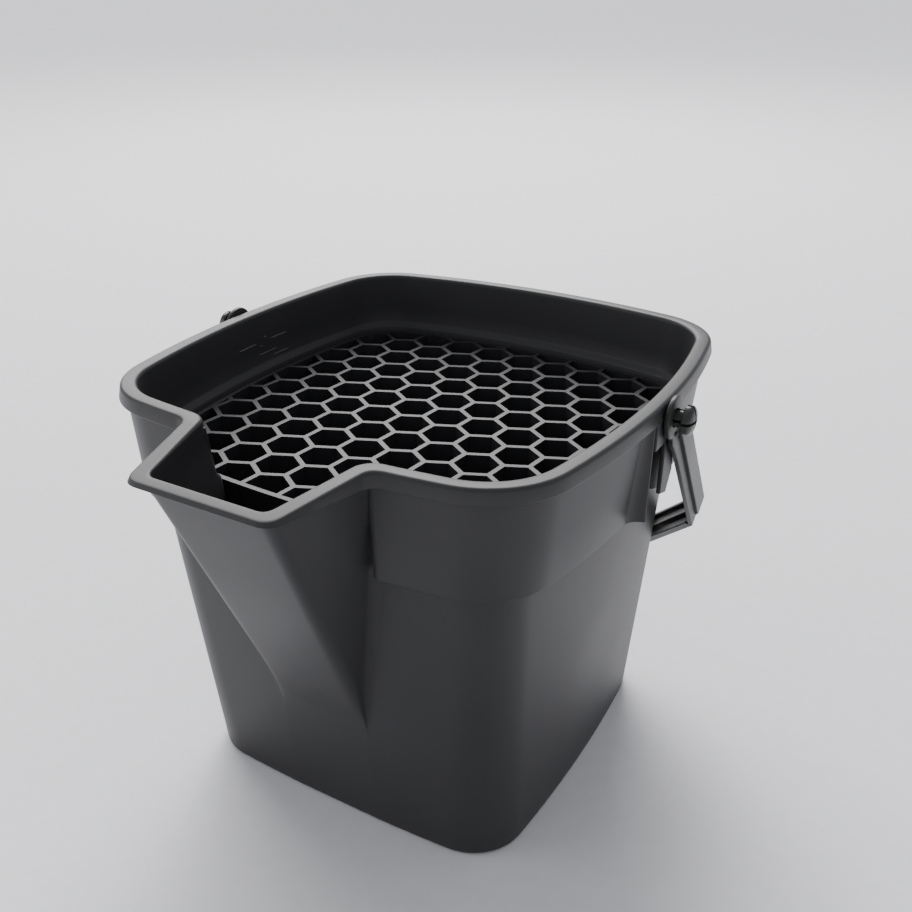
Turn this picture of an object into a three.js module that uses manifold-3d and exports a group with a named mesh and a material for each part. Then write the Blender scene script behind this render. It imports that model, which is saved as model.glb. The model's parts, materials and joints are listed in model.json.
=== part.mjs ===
// Square wash bucket with a pouring spout, a lift-out honeycomb grit guard and a swinging bail.
// Millimetres, +Z up. The origin is the middle of the underside. The spout points to -Y, and the
// bail turns on two snap pins on the X axis sides.
import * as THREE from 'three';
import { mergeGeometries, mergeVertices } from 'three/addons/utils/BufferGeometryUtils.js';
import Module from 'manifold-3d';

const wasm = await Module();
wasm.setup();

// ---- driving dimensions ----------------------------------------------------------------------

const RIM_TOP = 263.5;
const RIM_DROP = 8.6; // height of the rim's downturned flange
const RIM_WIDTH = 9.6; // flat top of the rim, from its outer edge to the inside of the bucket
const RIM_FLARE = 1.2; // how far the flange leans out at its lower edge
const RIM_BOTTOM = RIM_TOP - RIM_DROP;

// Plan outlines: four bulging sides, each one arc, joined by round corners.
const RIM_PLAN = {
  halfWidth: 146,
  halfDepth: 153,
  sideArc: 580,
  backArc: 475,
  frontArc: 700,
  corner: 50,
  shift: 0,
};
const BASE_PLAN = {
  halfWidth: 112.5,
  halfDepth: 116,
  sideArc: 1060,
  backArc: 1230,
  frontArc: 1230,
  corner: 35,
  shift: 4,
};

const WALL = 3;
const FLOOR = 3.5;
const FOOT_RADIUS = 3.5; // rounding between the underside and the walls
const SKIRT_BOTTOM = 198.5; // lower edge of the stiffening skirt around the rim
const SKIRT_TOP_INSET = 3;
const SKIRT_BOTTOM_INSET = 7.9;
const SKIRT_THICKNESS = 2.5;
const BODY_INSET = 17; // the body's outer wall at the height of the skirt's lower edge

// The guard sits in a pocket just above a narrow ledge that runs round the inside.
const LEDGE_HEIGHT = 210.5;
const POCKET_INSET = 16.4;
const POCKET_TOP = 226;
const SHELF_TOP = 229.5;
const SHELF_INSET = 12.8;

const SPOUT_LIP_Y = -208;
const SPOUT_LIP_DROP = 6; // the lip is this much lower than the rim
const SPOUT_LIP_HALF = 42.5;
const SPOUT_ROOT_Y = -151;
const SPOUT_ROOT_HALF = 57;
const SPOUT_RIM = 7.5; // rim width around the spout
const SPOUT_WALL = 2.8;
const SPOUT_LOW_Z = 81; // where the spout's sloping front runs out into the front wall
const SPOUT_LOW_HALF = 31;
const SPOUT_CORNER = 6;
const SPOUT_INSIDE_Y = -100; // every spout solid starts well inside the bucket

const GUARD_CLEARANCE = 0.8;
const GUARD_TOP = 223.2;
const GUARD_GAP = 0.3; // the guard's underside over the ledge
const GUARD_FRAME = 3.2;
const CELL_PITCH = 25.2;
const CELL_WALL = 3;
const CELL_TURN = THREE.MathUtils.degToRad(-5.2);
const CELL_START = [11, 1];

const PIVOT_Z = RIM_TOP - 9;
const EAR_OUTER_X = 147.2;
const EAR_THICKNESS = 3.4;
const EAR_HALF_WIDTH = 17;
const EAR_BOTTOM = 240;
const EAR_RIB = 2.4;
const EAR_RIB_REACH = 14; // the ribs run this far in, past the bucket's wall
const TONGUE_OUTER_X = 146.6;
const TONGUE_THICKNESS = 2.6;
// The outline of the tongue that hangs from each ear, in Y and Z.
const TONGUE = [
  [1, EAR_BOTTOM + 1],
  [1, 207],
  [11, 204],
  [18, 216],
  [16, EAR_BOTTOM + 1],
];
// The wall that closes the recess in front, from inside the bucket's wall out to its free edge.
const CHEEK_X = [126, 146];
const CHEEK_Y = [-20.5, -16.8];
const RECESS_HALF_WIDTH = 20; // the skirt is left open this far each side of the pivot

const EYELET_INNER_X = 148;
const EYELET_THICKNESS = 3;
const EYELET_RADIUS = 12;
const PIN_RADIUS = 5;
const PIN_GAP = 0.35;
const PIN_FOOT_RADIUS = 8;
const PIN_FOOT = 2;
const PIN_HEAD_RADIUS = 8.2;
const PIN_HEAD_START_X = 155.5;
const PIN_HEAD_END_X = 161.6;
const PIN_SLOT = 1.6;

const BAIL_REST = THREE.MathUtils.degToRad(42.5); // it hangs against the rear wall, from straight down
const BAIL_WIDTH = 20;
const BAIL_OUTER_X = EYELET_INNER_X + EYELET_THICKNESS;
const BAIL_STRIP = 3;
const BAIL_ARM_START = 20; // the arms are straight this far out from the pivot
const BAIL_ELBOW = [144.8, 138.8]; // outer corner of arm and shoulder: sideways, outwards from the pivot
const BAIL_GRIP_CORNER = [101, 207];
const BAIL_GRIP_FILLET = 24;
const BAIL_CHANNEL_DEPTH = 5; // the shoulders and grip are ribbed channels, this deep
const BAIL_WEB = 2.2;
const BAIL_FLANGE = 2.2;
const BAIL_MID_RIB = 2;
const BAIL_PAD = 2; // the arms' outer faces are raised over their rear part
const BAIL_PAD_EDGE = -3; // where the raised part begins across the strip

const PLASTIC = { color: 0x3d3e41, roughness: 0.55, metalness: 0 };
const GUARD_PLASTIC = { color: 0x55565b, roughness: 0.5, metalness: 0 };
const PIN_PLASTIC = { color: 0x4a4b4b, roughness: 0.25, metalness: 0 };

// ---- solids ----------------------------------------------------------------------------------

// A closed three.js geometry as a manifold-3d solid.
function solid(geometry) {
  const bare = geometry.clone();
  bare.deleteAttribute('normal');
  bare.deleteAttribute('uv');
  const merged = mergeVertices(bare, 1e-4);
  const vertProperties = Float32Array.from(merged.attributes.position.array);
  const triVerts = Uint32Array.from(merged.index.array);
  return new wasm.Manifold(new wasm.Mesh({ numProp: 3, vertProperties, triVerts }));
}

function geometryOf(manifold) {
  const mesh = manifold.getMesh();
  const geometry = new THREE.BufferGeometry();
  geometry.setAttribute('position', new THREE.BufferAttribute(Float32Array.from(mesh.vertProperties), 3));
  geometry.setIndex(new THREE.BufferAttribute(Uint32Array.from(mesh.triVerts), 1));
  return geometry;
}

// A closed skin over rings of points, all with the same count and counter-clockwise from above.
function loft(rings) {
  const count = rings[0].length;
  const positions = rings.flat().flatMap((point) => [point.x, point.y, point.z]);
  const index = [];
  for (let ring = 0; ring + 1 < rings.length; ring += 1) {
    for (let i = 0; i < count; i += 1) {
      const a = ring * count + i;
      const b = ring * count + ((i + 1) % count);
      index.push(a, b, b + count, a, b + count, a + count);
    }
  }
  const last = (rings.length - 1) * count;
  for (let i = 1; i + 1 < count; i += 1) {
    index.push(0, i + 1, i);
    index.push(last, last + i, last + i + 1);
  }
  const geometry = new THREE.BufferGeometry();
  geometry.setAttribute('position', new THREE.Float32BufferAttribute(positions, 3));
  geometry.setIndex(index);
  return solid(geometry);
}

function box(low, high) {
  const size = high.map((value, axis) => value - low[axis]);
  const geometry = new THREE.BoxGeometry(...size);
  geometry.translate(...low.map((value, axis) => value + size[axis] / 2));
  return solid(geometry);
}

// A rod along X from one end to the other.
function rodX(radius, fromX, toX, y, z, sides = 24) {
  const geometry = new THREE.CylinderGeometry(radius, radius, toX - fromX, sides);
  geometry.rotateZ(-Math.PI / 2);
  geometry.translate((fromX + toX) / 2, y, z);
  return solid(geometry);
}

function extrude(points, depth) {
  const shape = new THREE.Shape(points);
  return new THREE.ExtrudeGeometry(shape, { depth, bevelEnabled: false });
}

// ---- the bucket's plan outline ----------------------------------------------------------------

// One quarter of an outline: side arc, corner arc and end arc, from the X axis to the Y axis.
function quarter(halfWidth, halfDepth, sideArc, endArc, corner) {
  const side = new THREE.Vector2(halfWidth - sideArc, 0);
  const end = new THREE.Vector2(0, halfDepth - endArc);
  // The corner's centre is sideArc - corner from one arc's centre and endArc - corner from the other.
  const reachSide = sideArc - corner;
  const reachEnd = endArc - corner;
  const across = end.clone().sub(side);
  const distance = across.length();
  const along = (reachSide ** 2 - reachEnd ** 2 + distance ** 2) / (2 * distance);
  const off = Math.sqrt(reachSide ** 2 - along ** 2);
  const unit = across.divideScalar(distance);
  const foot = side.clone().addScaledVector(unit, along);
  const centre = new THREE.Vector2(foot.x + Math.abs(unit.y) * off, foot.y + Math.abs(unit.x) * off);
  const turnStart = Math.atan2(centre.y - side.y, centre.x - side.x);
  const turnEnd = Math.atan2(centre.y - end.y, centre.x - end.x);
  return [
    ...arc(side, sideArc, 0, turnStart, 4),
    ...arc(centre, corner, turnStart, turnEnd, 7),
    ...arc(end, endArc, turnEnd, Math.PI / 2, 4),
  ];
}

// Points on an arc, without its last one.
function arc(centre, radius, from, to, steps) {
  const points = [];
  for (let i = 0; i < steps; i += 1) {
    const angle = from + ((to - from) * i) / steps;
    const reach = new THREE.Vector2(Math.cos(angle), Math.sin(angle)).multiplyScalar(radius);
    points.push(centre.clone().add(reach));
  }
  return points;
}

// The whole outline at one height, set in from the plan by an even inset.
function outline(plan, inset, z) {
  const { halfWidth, halfDepth, sideArc, backArc, frontArc, corner, shift } = plan;
  const part = (endArc) =>
    quarter(halfWidth - inset, halfDepth - inset, sideArc - inset, endArc - inset, corner - inset);
  const back = part(backArc);
  const front = part(frontArc);
  const endMiddle = new THREE.Vector2(0, halfDepth - inset);
  const mirror = (points, x, y) => points.map((point) => new THREE.Vector2(point.x * x, point.y * y));
  const points = [
    ...back,
    endMiddle,
    ...mirror(back, -1, 1).reverse(),
    ...mirror(front, -1, -1).slice(1),
    ...mirror([endMiddle], 1, -1),
    ...mirror(front, 1, -1).reverse().slice(0, -1),
  ];
  return points.map((point) => new THREE.Vector3(point.x, point.y + shift, z));
}

// The body's wall: a straight taper from the base plan to the rim plan set in by BODY_INSET.
function bodyRing(z, inset) {
  const low = outline(BASE_PLAN, inset, 0);
  const high = outline(RIM_PLAN, BODY_INSET + inset, SKIRT_BOTTOM);
  return low.map((point, i) => point.clone().lerp(high[i], z / SKIRT_BOTTOM));
}

// ---- the spout ---------------------------------------------------------------------------------

// A trapezoid that starts inside the bucket and ends in a lip with round corners. It is level as
// far as the root line, then drops towards the lip.
function spoutRing(rootHalf, rootY, lipHalf, lipY, z, drop) {
  const root = new THREE.Vector2(rootHalf, rootY);
  const corner = new THREE.Vector2(lipHalf, lipY);
  const inwards = root.clone().sub(corner).normalize();
  const before = corner.clone().addScaledVector(inwards, SPOUT_CORNER);
  const after = corner.clone().add(new THREE.Vector2(-SPOUT_CORNER, 0));
  const curve = new THREE.QuadraticBezierCurve(before, corner, after);
  const right = [new THREE.Vector2(rootHalf, SPOUT_INSIDE_Y), root, ...curve.getPoints(4)];
  const left = right.map((point) => new THREE.Vector2(-point.x, point.y));
  const points = [...left, ...right.reverse()];
  return points.map((point) => {
    const along = Math.max(0, (rootY - point.y) / (rootY - lipY));
    return new THREE.Vector3(point.x, point.y, z - drop * along);
  });
}

// The front wall's outer face at one height, beside the spout.
function frontWallY(z) {
  const low = -BASE_PLAN.halfDepth + BASE_PLAN.shift;
  const high = -RIM_PLAN.halfDepth + BODY_INSET;
  return low + ((high - low) * z) / SKIRT_BOTTOM;
}

// The spout's wedge: wide at the rim, running out into the front wall lower down.
function spoutWedge(inset, topZ) {
  const topInset = SPOUT_RIM - SPOUT_WALL + inset;
  const topHalf = SPOUT_ROOT_HALF - topInset;
  const lipHalf = SPOUT_LIP_HALF - topInset;
  const lowHalf = SPOUT_LOW_HALF - inset;
  const lowY = frontWallY(SPOUT_LOW_Z) + inset;
  const lowZ = SPOUT_LOW_Z + inset * 2;
  return loft([
    spoutRing(lowHalf, lowY + 4, lowHalf - 0.5, lowY, lowZ, 0),
    spoutRing(topHalf, SPOUT_ROOT_Y, lipHalf, SPOUT_LIP_Y + topInset, topZ, 0),
  ]);
}

// The rim around the spout. Its top drops towards the lip and its lower edge is level, so it thins.
function spoutFlange() {
  const ring = (z, drop) =>
    spoutRing(SPOUT_ROOT_HALF, SPOUT_ROOT_Y, SPOUT_LIP_HALF, SPOUT_LIP_Y, z, drop);
  return loft([ring(RIM_BOTTOM, 0), ring(RIM_TOP, SPOUT_LIP_DROP)]);
}

// ---- the bucket shell ----------------------------------------------------------------------------

// Everything inside the outer faces of the body's wall, solid right through.
function bodySolid() {
  return loft([
    bodyRing(0, FOOT_RADIUS),
    bodyRing(FOOT_RADIUS * 0.3, FOOT_RADIUS * 0.3),
    bodyRing(FOOT_RADIUS, 0),
    bodyRing(SKIRT_BOTTOM, 0),
    bodyRing(LEDGE_HEIGHT - WALL, 0),
    outline(RIM_PLAN, POCKET_INSET - WALL, LEDGE_HEIGHT),
    outline(RIM_PLAN, POCKET_INSET - WALL, POCKET_TOP),
    outline(RIM_PLAN, SHELF_INSET - WALL, SHELF_TOP),
    outline(RIM_PLAN, RIM_WIDTH - WALL, RIM_BOTTOM),
  ]);
}

// The skirt hangs from the rim and is open underneath, at the spout and at the two pivots.
function skirt() {
  const outer = loft([
    outline(RIM_PLAN, SKIRT_BOTTOM_INSET, SKIRT_BOTTOM),
    outline(RIM_PLAN, SKIRT_TOP_INSET, RIM_BOTTOM + 1),
  ]);
  const inner = loft([
    outline(RIM_PLAN, SKIRT_BOTTOM_INSET + SKIRT_THICKNESS, SKIRT_BOTTOM - 1),
    outline(RIM_PLAN, SKIRT_TOP_INSET + SKIRT_THICKNESS, RIM_BOTTOM),
  ]);
  const spoutHalf = SPOUT_ROOT_HALF - SPOUT_RIM + SPOUT_WALL;
  const spoutGap = box([-spoutHalf, -200, 0], [spoutHalf, -100, RIM_BOTTOM]);
  const pivotGap = box([-200, -RECESS_HALF_WIDTH, 0], [200, RECESS_HALF_WIDTH, RIM_BOTTOM]);
  return outer.subtract(inner).subtract(spoutGap).subtract(pivotGap);
}

function rimFlange() {
  return loft([
    outline(RIM_PLAN, -RIM_FLARE, RIM_BOTTOM),
    outline(RIM_PLAN, 0, RIM_TOP),
  ]);
}

function cavity() {
  return loft([
    bodyRing(FLOOR, WALL + 1),
    bodyRing(FLOOR + 2, WALL),
    bodyRing(LEDGE_HEIGHT, WALL),
    outline(RIM_PLAN, POCKET_INSET, LEDGE_HEIGHT + 0.01),
    outline(RIM_PLAN, POCKET_INSET, POCKET_TOP),
    outline(RIM_PLAN, SHELF_INSET, SHELF_TOP),
    outline(RIM_PLAN, RIM_WIDTH, RIM_TOP + 1),
  ]);
}

// A plate under the rim that carries one pin, with a rib back to the wall at each edge, a tongue
// hanging below it and the recess's front wall beside it.
function ear(side) {
  const inner = EAR_OUTER_X - EAR_THICKNESS;
  const top = RIM_BOTTOM + 2;
  let piece = box([inner, -EAR_HALF_WIDTH, EAR_BOTTOM], [EAR_OUTER_X, EAR_HALF_WIDTH, top]);
  for (const edge of [-1, 1]) {
    const y = [edge * EAR_HALF_WIDTH, edge * (EAR_HALF_WIDTH - EAR_RIB)].sort((a, b) => a - b);
    piece = piece.add(box([inner - EAR_RIB_REACH, y[0], EAR_BOTTOM], [inner + 1, y[1], top]));
  }
  const tongue = extrude(TONGUE.map(([y, z]) => new THREE.Vector2(y, z)), TONGUE_THICKNESS);
  tongue.rotateX(Math.PI / 2);
  tongue.rotateZ(Math.PI / 2);
  tongue.translate(TONGUE_OUTER_X - TONGUE_THICKNESS, 0, 0);
  piece = piece.add(solid(tongue));
  piece = piece.add(box([CHEEK_X[0], CHEEK_Y[0], SKIRT_BOTTOM], [CHEEK_X[1], CHEEK_Y[1], top]));
  return side > 0 ? piece : piece.mirror([1, 0, 0]);
}

// Room for one pin: its shank through the ear and the rim, and its foot behind the ear.
function pinHole() {
  const inner = EAR_OUTER_X - EAR_THICKNESS;
  const foot = rodX(PIN_FOOT_RADIUS + PIN_GAP, inner - PIN_FOOT - 2 * PIN_GAP, inner, 0, PIVOT_Z);
  return rodX(PIN_RADIUS + PIN_GAP, inner - 1, EAR_OUTER_X + 5, 0, PIVOT_Z).add(foot);
}

function bucketShell() {
  let shell = bodySolid().add(skirt()).add(rimFlange());
  shell = shell.add(spoutWedge(0, RIM_BOTTOM)).add(spoutFlange());
  shell = shell.add(ear(1)).add(ear(-1));
  shell = shell.subtract(cavity()).subtract(spoutWedge(SPOUT_WALL, RIM_TOP + 10));
  return shell.subtract(pinHole()).subtract(pinHole().rotate([0, 0, 180]));
}

// ---- the grit guard --------------------------------------------------------------------------------

function gritGuard() {
  const inset = POCKET_INSET + GUARD_CLEARANCE;
  const bottom = LEDGE_HEIGHT + GUARD_GAP;
  const plate = loft([outline(RIM_PLAN, inset, bottom), outline(RIM_PLAN, inset, GUARD_TOP)]);
  const inside = loft([
    outline(RIM_PLAN, inset + GUARD_FRAME, bottom - 1),
    outline(RIM_PLAN, inset + GUARD_FRAME, GUARD_TOP + 1),
  ]);
  const radius = (CELL_PITCH - CELL_WALL) / Math.sqrt(3);
  const height = GUARD_TOP - bottom + 4;
  const row = new THREE.Vector2(CELL_PITCH, 0).rotateAround(new THREE.Vector2(), CELL_TURN);
  const next = row.clone().rotateAround(new THREE.Vector2(), Math.PI / 3);
  const cells = [];
  for (let i = -9; i <= 9; i += 1) {
    for (let j = -9; j <= 9; j += 1) {
      const x = CELL_START[0] + row.x * i + next.x * j;
      const y = CELL_START[1] + row.y * i + next.y * j;
      if (Math.abs(x) < RIM_PLAN.halfWidth && Math.abs(y) < RIM_PLAN.halfDepth) {
        const cell = new THREE.CylinderGeometry(radius, radius, height, 6);
        cell.rotateX(Math.PI / 2);
        cell.rotateZ(CELL_TURN);
        cell.translate(x, y, (bottom + GUARD_TOP) / 2);
        cells.push(cell);
      }
    }
  }
  return plate.subtract(solid(mergeGeometries(cells)).intersect(inside));
}

// ---- the bail ----------------------------------------------------------------------------------------

// The right half of the bail's outer face, from the elbow to the middle of the grip.
function shoulderLine() {
  const elbow = new THREE.Vector2(...BAIL_ELBOW);
  const corner = new THREE.Vector2(...BAIL_GRIP_CORNER);
  const back = elbow.clone().sub(corner).normalize();
  const turn = Math.acos(back.x);
  const tangent = BAIL_GRIP_FILLET * Math.tan(turn / 2);
  const centre = new THREE.Vector2(corner.x - tangent, corner.y - BAIL_GRIP_FILLET);
  const curve = arc(centre, BAIL_GRIP_FILLET, Math.PI / 2 - turn, Math.PI / 2, 8);
  return [elbow, ...curve, new THREE.Vector2(centre.x, corner.y)];
}

// The right arm's outer face, from the pivot or from part of the way along, to the elbow.
function armLine(start) {
  return [start, BAIL_ARM_START].map((along) => new THREE.Vector2(BAIL_OUTER_X, along));
}

// An open line moved sideways to its right by an even distance, with mitred corners.
function offsetLine(points, distance) {
  return points.map((point, i) => {
    const before = points[Math.max(i - 1, 0)];
    const after = points[Math.min(i + 1, points.length - 1)];
    const first = i > 0 ? point.clone().sub(before).normalize() : after.clone().sub(point).normalize();
    const second = i + 1 < points.length ? after.clone().sub(point).normalize() : first;
    const normal = new THREE.Vector2(-first.y - second.y, first.x + second.x).normalize();
    const stretch = 1 / (normal.x * -first.y + normal.y * first.x);
    return point.clone().addScaledVector(normal, distance * stretch);
  });
}

// A strip between two offsets of a line, extruded across the bail's width.
function strip(line, near, far, low, high) {
  const outer = offsetLine(line, near);
  const inner = offsetLine(line, far).reverse();
  const geometry = extrude([...outer, ...inner], high - low);
  geometry.translate(0, 0, low);
  return solid(geometry);
}

function mirrored(half) {
  return [...half, ...half.map((point) => new THREE.Vector2(-point.x, point.y)).reverse()];
}

// Built flat: X sideways, Y outwards from the pivot, Z across the strip. Turned by its mesh.
function bail() {
  const edge = BAIL_WIDTH / 2;
  const whole = mirrored([...armLine(0), ...shoulderLine()]);
  const hoop = mirrored(shoulderLine());
  let piece = strip(whole, 0, BAIL_STRIP, -edge, edge);
  piece = piece.add(strip(hoop, 0, BAIL_CHANNEL_DEPTH, -edge, edge));
  const channel = [BAIL_MID_RIB / 2, edge - BAIL_FLANGE];
  for (const [low, high] of [channel, channel.map((value) => -value).reverse()]) {
    piece = piece.subtract(strip(hoop.slice(1, -1), BAIL_WEB, BAIL_CHANNEL_DEPTH + 1, low, high));
  }
  const padLine = [...armLine(BAIL_ARM_START - 5), new THREE.Vector2(...BAIL_ELBOW)];
  const pad = strip(padLine, -BAIL_PAD, 1, BAIL_PAD_EDGE, edge);
  const eyelet = rodX(EYELET_RADIUS, EYELET_INNER_X, BAIL_OUTER_X, 0, 0, 32);
  piece = piece.add(pad).add(pad.mirror([1, 0, 0])).add(eyelet).add(eyelet.mirror([1, 0, 0]));
  return piece.subtract(rodX(PIN_RADIUS + PIN_GAP, -200, 200, 0, 0));
}

// ---- the snap pins -------------------------------------------------------------------------------------

// A moulded pin pushed out through the ear: a flat foot, a shank and a split mushroom head.
function snapPin() {
  const foot = EAR_OUTER_X - EAR_THICKNESS - PIN_GAP;
  const profile = [
    [0, foot - PIN_FOOT],
    [PIN_FOOT_RADIUS, foot - PIN_FOOT],
    [PIN_FOOT_RADIUS, foot],
    [PIN_RADIUS, foot],
    [PIN_RADIUS, PIN_HEAD_START_X],
    [PIN_HEAD_RADIUS, PIN_HEAD_START_X + 0.4],
    [PIN_HEAD_RADIUS, PIN_HEAD_START_X + 2.7],
    [PIN_HEAD_RADIUS * 0.8, PIN_HEAD_END_X - 0.6],
    [0, PIN_HEAD_END_X],
  ];
  const geometry = new THREE.LatheGeometry(profile.map(([r, x]) => new THREE.Vector2(r, x)), 24);
  geometry.rotateZ(-Math.PI / 2);
  const reach = PIN_HEAD_RADIUS + 1;
  const half = PIN_SLOT / 2;
  return solid(geometry)
    .subtract(box([EYELET_INNER_X, -reach, -half], [PIN_HEAD_END_X + 1, reach, half]))
    .subtract(box([EYELET_INNER_X, -half, -reach], [PIN_HEAD_END_X + 1, half, reach]));
}

// ---- assembly --------------------------------------------------------------------------------------------

function mesh(name, manifold, finish) {
  const piece = new THREE.Mesh(geometryOf(manifold), new THREE.MeshStandardMaterial(finish));
  piece.name = name;
  return piece;
}

const bucket = new THREE.Group();
bucket.add(mesh('bucket_shell', bucketShell(), PLASTIC));
bucket.add(mesh('grit_guard', gritGuard(), GUARD_PLASTIC));

const pivots = new THREE.Group();
pivots.position.z = PIVOT_Z;
const bailHandle = mesh('bail_handle', bail(), PLASTIC);
bailHandle.rotation.x = BAIL_REST - Math.PI / 2;
pivots.add(bailHandle);
for (const [name, turn] of [['snap_pin_right', 0], ['snap_pin_left', Math.PI]]) {
  const pin = mesh(name, snapPin(), PIN_PLASTIC);
  pin.rotation.z = turn;
  pivots.add(pin);
}
bucket.add(pivots);

export default bucket;
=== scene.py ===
import json
import math

import bmesh
import bpy
import numpy as np
from mathutils import Matrix, Vector


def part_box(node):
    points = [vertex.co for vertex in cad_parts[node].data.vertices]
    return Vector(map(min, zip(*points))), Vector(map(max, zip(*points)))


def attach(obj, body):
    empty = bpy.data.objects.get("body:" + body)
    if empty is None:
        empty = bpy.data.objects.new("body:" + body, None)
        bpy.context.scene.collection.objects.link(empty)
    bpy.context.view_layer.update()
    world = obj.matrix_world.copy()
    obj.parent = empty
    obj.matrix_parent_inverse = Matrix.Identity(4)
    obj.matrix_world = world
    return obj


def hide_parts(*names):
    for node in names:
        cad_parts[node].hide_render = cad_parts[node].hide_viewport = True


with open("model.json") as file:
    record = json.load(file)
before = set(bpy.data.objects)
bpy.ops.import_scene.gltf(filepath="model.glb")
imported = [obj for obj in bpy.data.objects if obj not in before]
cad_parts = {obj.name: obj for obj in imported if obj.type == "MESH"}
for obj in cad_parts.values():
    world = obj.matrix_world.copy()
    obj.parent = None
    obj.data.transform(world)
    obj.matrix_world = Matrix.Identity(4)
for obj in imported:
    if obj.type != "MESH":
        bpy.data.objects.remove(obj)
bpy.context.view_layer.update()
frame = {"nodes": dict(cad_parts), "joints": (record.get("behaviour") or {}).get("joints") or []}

# ---- sizes, in millimetres --------------------------------------------------------------------
# What the frame knows is read from it. The rest follow the CAD's sizes, or belong to small shapes
# and roundings that only this model has.

MM = 0.001
shell_low, shell_high = (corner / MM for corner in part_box("bucket_shell"))
bail_joint = next(joint for joint in frame["joints"] if joint["name"] == "bail_swing")
PIVOT_Z = bail_joint["pos_m"][2] / MM

RIM_TOP = shell_high.z
RIM_DROP = 8.6
RIM_WIDTH = 9.6
RIM_FLARE = 1.2
RIM_BOTTOM = RIM_TOP - RIM_DROP
# A plan is an outline of arcs: half sizes, radii of its sides, ends and corners, and a shift in Y.
RIM_PLAN = dict(half_width=146, half_depth=153, side=580, back=475, front=700, corner=50, shift=0)
BASE_PLAN = dict(half_width=112.5, half_depth=116, side=1060, back=1230, front=1230, corner=35, shift=4)

WALL = 3
FLOOR = 3.5
FOOT_RADIUS = 3.5
SKIRT_BOTTOM = 198.5
SKIRT_TOP_INSET = 3
SKIRT_BOTTOM_INSET = 7.9
SKIRT_THICKNESS = 2.5
SKIRT_END_X = 50.5  # the skirt stops here, beside the spout
SKIRT_CORNER = 4.5  # rounding of the skirt's upright corners
SKIRT_RETURN = (10.5, 7.4, 5)  # how far the skirt's ends turn in, into the wall, at three heights
SKIRT_STATIONS = 90
SKIRT_END_STEPS = 8
BODY_INSET = 17
LEDGE_HEIGHT = 210.5
POCKET_INSET = 16.4
POCKET_TOP = 226
SHELF_TOP = 229.5
SHELF_INSET = 12.8

SPOUT_LIP_Y = shell_low.y
SPOUT_LIP_DROP = 6
SPOUT_LIP_HALF = 42.5
SPOUT_ROOT_Y = -151
SPOUT_ROOT_HALF = 57
SPOUT_RIM = 7.5
SPOUT_WALL = 2.8
SPOUT_LOW_Z = 81
SPOUT_LOW_HALF = 31
SPOUT_RUN_OUT = 0.6  # how softly the spout's front runs out into the wall
SPOUT_START_DEPTH = 4  # how deep the wedge's side is at its foot
SPOUT_WALL_ROUND = 5  # rounding at the root of the wedge
SPOUT_FRONT_ROUNDS = (6.5, 4)  # rounding of the wedge's front edges, outside and inside
SPOUT_RIM_NARROWING = 10  # how much the spout's root narrows from the rim's outer edge to its inner
SPOUT_RIM_ROOT_ROUNDS = (7, 10)  # rounding of the rim at the spout's root, outer and inner edge
SPOUT_RIM_LIP_ROUNDS = (8, 5)  # and at the lip's corners
ROUND_LIMIT = 0.45  # the most of the spout's side that one rounding may take

# Heights of the wall's rings, closer together where the spout's wedge begins.
OUTER_HEIGHTS = (12, 30, 46, 56, 63, 69, 75, 81, 87, 93, 100, 110, 124, 140, 160, 180, 200)
INNER_HEIGHTS = (200, 180, 160, 140, 122, 110, 102, 96, 90, 84, 78, 70, 60, 40, 20)

EAR_OUTER_X = 147.2
EAR_THICKNESS = 3.4
EAR_HALF_WIDTH = 17
EAR_BOTTOM = 240
EAR_RIB = 2.4
TONGUE_OUTER_X = 146.6
TONGUE_THICKNESS = 2.6
# The tongue's outline, in Y and Z.
TONGUE = [(1, EAR_BOTTOM + 1), (1, 207), (11, 204), (18, 216), (16, EAR_BOTTOM + 1)]

# The wall in front of the recess. Its plan is in X from the skirt's face or from its own tip, and Y.
CHEEK_TIP_X = 146
CHEEK_START = (-1.1, -29)
CHEEK_BEND = (-0.4, -21.5)
CHEEK_TIP = [(-1.2, -19), (-0.3, -18.5), (0, -17.7), (-0.4, -16.9), (-1.4, -16.6)]
CHEEK_ROOT_Y = (-16.6, -19.5)
CHEEK_BURIED = [(-2, -22), (-2, -29)]
# How far in it starts, at the heights where the bucket's wall changes: Z and X.
CHEEK_ROOTS = [
    (SKIRT_BOTTOM, 127.5),
    (LEDGE_HEIGHT, 131),
    (POCKET_TOP, 131.2),
    (SHELF_TOP, 134.8),
    (RIM_BOTTOM + 1, 138),
]
RECESS_HALF_WIDTH = 20

EYELET_INNER_X = 148
EYELET_OUTER_X = 151
EYELET_RADIUS = 12
PIN_RADIUS = 5
PIN_GAP = 0.35
PIN_HEAD_RADIUS = 8.2
PIN_FOOT_RADIUS = 8
PIN_SLOT = 1.6
PIN_CORE_RADIUS = 1.3
# The head's underside, in radius and X, from the shank out to where the dome begins.
PIN_HEAD_FOOT = [
    (PIN_RADIUS, 155.3),
    (PIN_RADIUS + 0.4, 155.5),
    (PIN_HEAD_RADIUS - 0.4, 155.6),
    (PIN_HEAD_RADIUS, 156.1),
]
PIN_DOME_X = 158.4
PIN_DOME_HEIGHT = 3.0
PIN_TIP_X = 161.5

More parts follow.
